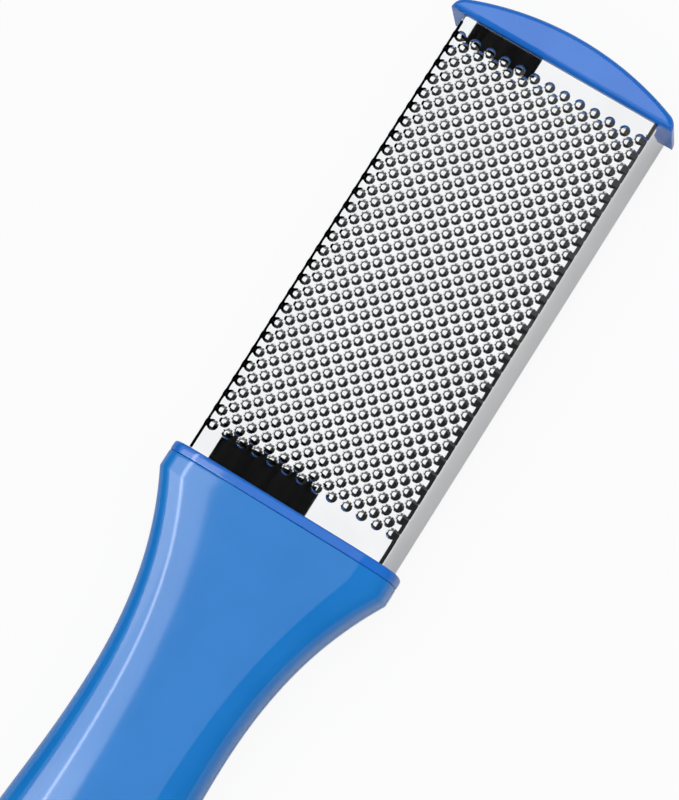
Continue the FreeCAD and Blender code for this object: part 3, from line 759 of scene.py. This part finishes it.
class Paint:
    """A new material, with short calls to add its nodes."""

    def __init__(self, name):
        self.material = bpy.data.materials.new(name)
        self.material.use_nodes = True
        self.tree = self.material.node_tree
        self.shader = self.tree.nodes["Principled BSDF"]
        self.place = self.tree.nodes.new("ShaderNodeTexCoord").outputs["Object"]

    def put(self, node, name, value):
        """Link a socket of a node to another's output, or set it."""
        socket = node.inputs[name]
        if isinstance(value, bpy.types.NodeSocket):
            self.tree.links.new(value, socket)
        else:
            socket.default_value = value

    def add(self, kind, inputs, **settings):
        node = self.tree.nodes.new(kind)
        for name, value in settings.items():
            setattr(node, name, value)
        for name, value in inputs.items():
            self.put(node, name, value)
        return node

    def stretch(self, scale):
        return self.add("ShaderNodeMapping", {"Vector": self.place, "Scale": scale}).outputs["Vector"]

    def noise(self, scale, detail, where=None):
        inputs = {"Vector": where or self.place, "Scale": scale, "Detail": detail}
        return self.add("ShaderNodeTexNoise", inputs).outputs["Fac"]

    def span(self, value, old, new):
        """Carry a value from one range, low to high, to another."""
        ends = zip(("From Min", "From Max", "To Min", "To Max"), (*old, *new))
        return self.add("ShaderNodeMapRange", {"Value": value, **dict(ends)}).outputs["Result"]

    def mix(self, share, first, second):
        """Mix two colours, whose sockets have the same names as those for other kinds of data."""
        node = self.add("ShaderNodeMix", {}, data_type="RGBA")
        for socket, value in zip(MIX_INPUTS, (share, first, second)):
            self.put(node, socket, value)
        return node.outputs[MIX_RESULT]

    def bump(self, height, strength, distance):
        inputs = {"Height": height, "Strength": strength, "Distance": distance}
        self.put(self.shader, "Normal", self.add("ShaderNodeBump", inputs).outputs["Normal"])

    def surface(self, **values):
        """Set the main shader's sockets, and give the finished material."""
        for name, value in values.items():
            self.put(self.shader, name.replace("_", " "), value)
        return self.material

    def show(self, shader):
        """Use another shader than the main one."""
        self.tree.links.new(shader.outputs[0], self.tree.nodes["Material Output"].inputs["Surface"])
        return self.material


def darker(tone, share):
    return tuple(part * share for part in tone[:3]) + (1,)


def shares_of(value, shares):
    return tuple(value * share for share in shares)


def plastic(name, deep, bright, roughness):
    """Glossy moulded plastic: clouded colour, and a fine grain that also varies its gloss."""
    paint = Paint(name)
    cloud = paint.span(paint.noise(CLOUD_WAVES, detail=3), NOISE_SPREAD, (0, 1))
    grain = paint.noise(MOULD_GRAIN_WAVES, detail=2)
    paint.bump(grain, MOULD_GRAIN_STRENGTH, MOULD_GRAIN_DEPTH)
    gloss = paint.span(grain, NOISE_SPREAD, shares_of(roughness, GLOSS_SHARES))
    return paint.surface(Base_Color=paint.mix(cloud, deep, bright), Roughness=gloss, IOR=PLASTIC_IOR)


def steel(name, tone, roughness, scratch_strength):
    """Sheet steel: fine scratches along the sheet, and slight clouding."""
    paint = Paint(name)
    scratches = paint.noise(SCRATCH_WAVES, detail=4, where=paint.stretch(SCRATCH_STRETCH))
    paint.bump(scratches, scratch_strength, SCRATCH_DEPTH)
    cloud = paint.span(paint.noise(TARNISH_WAVES, detail=2), TARNISH_SPREAD, (0, 1))
    shine = paint.span(scratches, NOISE_SPREAD, shares_of(roughness, SHINE_SHARES))
    colour = paint.mix(cloud, darker(tone, TARNISH_SHARE), tone)
    return paint.surface(Base_Color=colour, Roughness=shine, Metallic=1)


def matte_plastic(name, tone):
    """Plain moulding with an even grain."""
    paint = Paint(name)
    grain = paint.noise(CORE_GRAIN_WAVES, detail=3)
    paint.bump(grain, CORE_GRAIN_STRENGTH, CORE_GRAIN_DEPTH)
    colour = paint.mix(grain, darker(tone, CORE_SHADE_SHARE), tone)
    return paint.surface(Base_Color=colour, Roughness=paint.span(grain, (0, 1), CORE_ROUGHNESS))


HANDLE_PLASTIC = plastic("blue_plastic", HANDLE_DEEP, HANDLE_BRIGHT, roughness=0.09)
TRIM_PLASTIC = plastic("deep_blue_plastic", TRIM_DEEP, TRIM_BRIGHT, roughness=0.08)
POLISHED_STEEL = steel("polished_steel", POLISHED_TONE, roughness=0.07, scratch_strength=0.05)
SATIN_STEEL = steel("satin_steel", SATIN_TONE, roughness=0.24, scratch_strength=0.1)
CORE_PLASTIC = matte_plastic("core_plastic", CORE_TONE)
PIN_STEEL = steel("pin_steel", PIN_TONE, roughness=0.3, scratch_strength=0.15)

# Pieces
front_shell, back_shell = build_shells()
band = build_band()
cap = build_cap()
for piece, node, slot, material in (
    (front_shell, "handle_front_shell", "handle_plastic", HANDLE_PLASTIC),
    (back_shell, "handle_back_shell", "handle_plastic", HANDLE_PLASTIC),
    (band, "mouth_ring", "trim_plastic", TRIM_PLASTIC),
    (build_coarse_plate(), "coarse_rasp_plate", "polished_steel", POLISHED_STEEL),
    (build_fine_plate(), "fine_rasp_plate", "satin_steel", SATIN_STEEL),
    (cap, "end_cap", "trim_plastic", TRIM_PLASTIC),
):
    piece.data.materials.clear()
    piece.data.materials.append(material)
    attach(piece, "root")
    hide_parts(node)
for node, material in (("head_core", CORE_PLASTIC), ("tang_pins", PIN_STEEL), ("plate_rivets", PIN_STEEL)):
    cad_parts[node].data.materials.clear()
    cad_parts[node].data.materials.append(material)


# Studio cards: name, lower and upper corner in mm with heights above the coarse face, and glow
FILL_CARD = ("fill_card", (-700, -700, 620), (700, 700, 621), 1.5)
MIRRORED_CARDS = (
    ("overhead_card", (-550, -242, 600), (590, 1290, 601), 0.97),
    ("cap_side_card", (590, -700, 600), (2500, 1290, 601), 0.22),
    ("right_card", (60, -400, 30), (400, -19, 30.1), 0.06),
    ("lower_right_card", (-400, -400, 30), (60, -19, 30.1), 0.02),
    ("far_right_card", (-900, -701, -14), (900, -700, 180), 1),
    ("left_flag", (9.5, 21.8, -2.2), (101.5, 21.9, 2.2), 0),
    ("cap_flag", (98.2, 4.4, 3), (102.8, 18.4, 3.1), 0),
    ("mouth_flag", (9.3, -3.5, 3), (15.4, 17, 3.1), 0),
)

# Soft boxes: name, place, the point that it faces, length and width, all in mm, and brightness
HANDLE_LAMPS = (
    ("left_window", (60, 536, 613), (60, 536, 0), (180, 728), 2.8),
    ("lower_left_window", (-365, 536, 613), (-365, 536, 0), (670, 728), 4.2),
    ("right_window", (-275, -571, 613), (-275, -571, 0), (850, 658), 1),
    ("right_strip", (-60, -900, 330), (-30, -10, 12), (1000, 330), 3),
    ("strip_light", (-60, 345, 570), (-60, 345, 0), (900, 40), 7),
)
CAP_LAMP = ("cap_light", (245, 115, 590), (245, 115, 0), (500, 500), 1.5)


def card(name, low, high, strength, lights=False):
    """A thin glowing or black box, unseen itself, that lights the object or is only mirrored by it."""
    low, high = (Vector(corner) * MM + Vector((0, 0, FACE_Z)) for corner in (low, high))
    middle = (low + high) / 2
    bpy.ops.mesh.primitive_cube_add(size=1, location=middle)
    sheet = open_piece(name)
    bpy.ops.transform.resize(value=high - low, center_override=middle)
    bpy.ops.object.mode_set(mode="OBJECT")
    sheet.visible_camera = False
    sheet.visible_shadow = False
    sheet.visible_diffuse = lights
    sheet.visible_glossy = not lights
    paint = Paint(name)
    glow = paint.add("ShaderNodeEmission", {"Color": WHITE, "Strength": strength})
    sheet.data.materials.append(paint.show(glow))


def lamp(name, place, aim, size, brightness, pieces):
    """A soft box whose light shows only in the gloss of some pieces."""
    place, aim = Vector(place) * MM, Vector(aim) * MM
    light = bpy.data.lights.new(name, "AREA")
    light.shape = "RECTANGLE"
    light.size, light.size_y = size[0] * MM, size[1] * MM
    light.energy = brightness * math.pi * light.size * light.size_y
    light.diffuse_factor = 0
    box = bpy.data.objects.new(name, light)
    bpy.context.scene.collection.objects.link(box)
    box.location = place
    box.rotation_euler = (aim - place).to_track_quat("-Z", "Y").to_euler()
    box.visible_camera = False
    box.visible_diffuse = False
    lit = bpy.data.collections.new(name)
    for piece in pieces:
        lit.objects.link(piece)
    box.light_linking.receiver_collection = lit


def lay_floor():
    """Pale paper under the file. The camera sees it nearly white, and the steel mirrors a little of it."""
    bpy.ops.mesh.primitive_plane_add(size=FLOOR_SIZE, location=(0, 0, -FLOOR_DROP))
    floor = bpy.context.object
    floor.name = "floor"
    paint = Paint("floor_paper")
    paper = paint.add("ShaderNodeBsdfDiffuse", {"Color": FLOOR_TONE})
    white = paint.add("ShaderNodeEmission", {"Color": WHITE, "Strength": 1})
    rays = paint.add("ShaderNodeLightPath", {}).outputs
    mirrored = paint.span(rays["Is Glossy Ray"], (0, 1), (0, FLOOR_MIRRORED_SHARE))
    share = paint.span(rays["Is Camera Ray"], (0, 1), (mirrored, FLOOR_WHITE_SHARE))
    blend = paint.add("ShaderNodeMixShader", {0: share, 1: paper.outputs[0], 2: white.outputs[0]})
    floor.data.materials.append(paint.show(blend))


def light_world():
    """A faint, even glow from all round."""
    world = bpy.data.worlds.new("studio")
    world.use_nodes = True
    glow = world.node_tree.nodes["Background"].inputs
    glow["Color"].default_value = WORLD_TINT
    glow["Strength"].default_value = WORLD_STRENGTH
    bpy.context.scene.world = world


def place_camera():
    """The camera of the photograph, from its place, its aim and its upward direction."""
    forward = (CAMERA_AIM - CAMERA_PLACE).normalized()
    right = forward.cross(CAMERA_UP).normalized()
    turned = Matrix((right, right.cross(forward), -forward)).transposed().to_4x4()
    turned.translation = CAMERA_PLACE
    camera = bpy.data.objects.new("camera", bpy.data.cameras.new("camera"))
    camera.data.lens = CAMERA_LENS
    camera.data.clip_start = CAMERA_NEAREST
    camera.matrix_world = turned
    bpy.context.scene.collection.objects.link(camera)
    bpy.context.scene.camera = camera


card(*FILL_CARD, lights=True)
for row in MIRRORED_CARDS:
    card(*row)
for row in HANDLE_LAMPS:
    lamp(*row, (front_shell, back_shell, band))
lamp(*CAP_LAMP, (cap,))
lay_floor()
light_world()
place_camera()
bpy.context.scene.view_settings.view_transform = "Standard"
